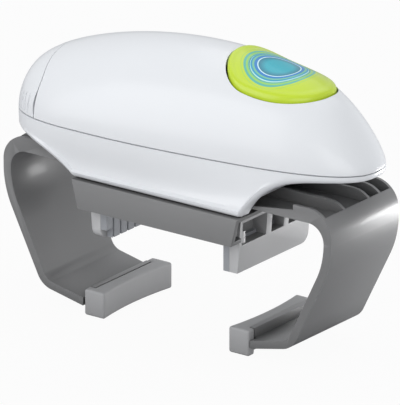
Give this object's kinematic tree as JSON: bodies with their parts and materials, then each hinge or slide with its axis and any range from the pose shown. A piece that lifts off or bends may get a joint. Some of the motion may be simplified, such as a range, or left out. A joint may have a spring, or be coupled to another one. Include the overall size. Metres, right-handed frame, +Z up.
{
  "type": "electric jar opener",
  "caption": "Battery jar opener: rounded body, start button, two hooked arms that grip the jar and a turning clamp with sliding jaws for the lid.",
  "frame": {"origin": "on the turning axis, at the face of the clamp that rests on the lid", "axes": "+X to the nose and the start button, +Z up along the turning axis, arms and jaws slide along X"},
  "size_m": [0.1832, 0.072, 0.1304],
  "materials": {
    "white_plastic": "smooth glossy moulded plastic",
    "lime_plastic": "glossy moulded plastic",
    "blue_lens": "clear coated tinted lens",
    "black_plastic": "matt moulded plastic",
    "dark_plastic": "matt moulded plastic",
    "grey_plastic": "satin moulded plastic",
    "arm_plastic": "satin moulded plastic",
    "pale_grey_plastic": "satin moulded plastic",
    "gear_plastic": "natural nylon",
    "pad_rubber": "soft matt rubber",
    "lid_rubber": "soft matt rubber with grip grooves",
    "board": "solder mask",
    "spring_steel": "plain wire and strip",
    "motor_steel": "drawn can",
    "shaft_steel": "ground",
    "screw_steel": "plain",
    "brass": "machined",
    "cell_wrap": "printed sleeve, left plain"
  },
  "bodies": {
    "housing": {"upper_cover": "white_plastic", "lower_housing": "white_plastic", "button_frame": "black_plastic", "button_spring": "spring_steel", "micro_switch": "black_plastic", "circuit_board": "board", "motor": "motor_steel", "chassis_base": "dark_plastic", "chassis_top": "dark_plastic", "gear_axles": "shaft_steel", "base_plate": "grey_plastic", "battery_tray": "dark_plastic", "battery_cells": "cell_wrap", "contact_springs": "spring_steel", "contact_plates": "spring_steel", "housing_screws": "screw_steel", "chassis_screws": "screw_steel", "base_screws": "screw_steel"},
    "arm_R": {"arm_right": "arm_plastic", "arm_pad_right": "pad_rubber"},
    "arm_L": {"arm_left": "arm_plastic", "arm_pad_left": "pad_rubber"},
    "clamp": {"clamp_housing": "grey_plastic", "output_gear": "gear_plastic", "retaining_ring": "spring_steel"},
    "jaw_R": {"lid_jaw_right": "pale_grey_plastic", "lid_pad_right": "lid_rubber"},
    "jaw_L": {"lid_jaw_left": "pale_grey_plastic", "lid_pad_left": "lid_rubber"},
    "jaw_drive": {"centre_shaft": "shaft_steel", "jaw_pinion": "gear_plastic"},
    "arm_drive": {"arm_pinion": "gear_plastic"},
    "motor_rotor": {"motor_pinion": "brass", "motor_shaft": "shaft_steel"},
    "wheel_1": {"compound_gear_1": "gear_plastic"},
    "wheel_2": {"compound_gear_2": "gear_plastic"},
    "button": {"start_button": "lime_plastic", "button_lens": "blue_lens"},
    "cover": {"battery_cover": "white_plastic", "cover_latch": "white_plastic", "cover_contact": "spring_steel"}
  },
  "joints": [
    {"name": "clamp_spin", "type": "hinge", "parent": "housing", "child": "clamp", "pos_m": [0, 0, 0.02], "axis": [0, 0, 1], "continuous": true},
    {"name": "jaw_right_slide", "type": "slide", "parent": "clamp", "child": "jaw_R", "axis": [1, 0, 0], "range_m": [-0.014, 0.01]},
    {"name": "jaw_left_slide", "type": "slide", "parent": "clamp", "child": "jaw_L", "axis": [-1, 0, 0], "range_m": [-0.014, 0.01]},
    {"name": "jaw_drive_turn", "type": "hinge", "parent": "clamp", "child": "jaw_drive", "pos_m": [0, 0, 0.02], "axis": [0, 0, 1], "range_deg": [-75, 105]},
    {"name": "arm_right_slide", "type": "slide", "parent": "housing", "child": "arm_R", "axis": [1, 0, 0], "range_m": [-0.015, 0.018]},
    {"name": "arm_left_slide", "type": "slide", "parent": "housing", "child": "arm_L", "axis": [-1, 0, 0], "range_m": [-0.015, 0.018]},
    {"name": "arm_drive_turn", "type": "hinge", "parent": "housing", "child": "arm_drive", "pos_m": [0, 0, 0.02], "axis": [0, 0, 1], "range_deg": [-90, 105]},
    {"name": "wheel_2_turn", "type": "hinge", "parent": "housing", "child": "wheel_2", "pos_m": [0.0205, 0.01342, 0.03], "axis": [0, 0, 1], "continuous": true},
    {"name": "wheel_1_turn", "type": "hinge", "parent": "housing", "child": "wheel_1", "pos_m": [0.03298, 0.00324, 0.03], "axis": [0, 0, 1], "continuous": true},
    {"name": "motor_turn", "type": "hinge", "parent": "housing", "child": "motor_rotor", "pos_m": [0.01749, -0.00117, 0.035], "axis": [0, 0, 1], "continuous": true},
    {"name": "button_press", "type": "slide", "parent": "housing", "child": "button", "axis": [0, 0, -1], "range_m": [0, 0.0015], "stiffness_N_per_m": 300, "springref_m": -0.002, "deforming": ["button_spring"]},
    {"name": "battery_cover_slide", "type": "slide", "parent": "housing", "child": "cover", "axis": [-1, 0, 0], "range_m": [0, 0.035]}
  ],
  "couplings": [
    {"joint": "jaw_left_slide", "follows": "jaw_right_slide", "ratio": 1},
    {"joint": "jaw_drive_turn", "follows": "jaw_right_slide", "rad_per_m": -125},
    {"joint": "arm_left_slide", "follows": "arm_right_slide", "ratio": 1},
    {"joint": "arm_drive_turn", "follows": "arm_right_slide", "rad_per_m": 100},
    {"joint": "wheel_2_turn", "follows": "clamp_spin", "ratio": -6},
    {"joint": "wheel_1_turn", "follows": "clamp_spin", "ratio": 21.6},
    {"joint": "motor_turn", "follows": "clamp_spin", "ratio": -77.76}
  ]
}
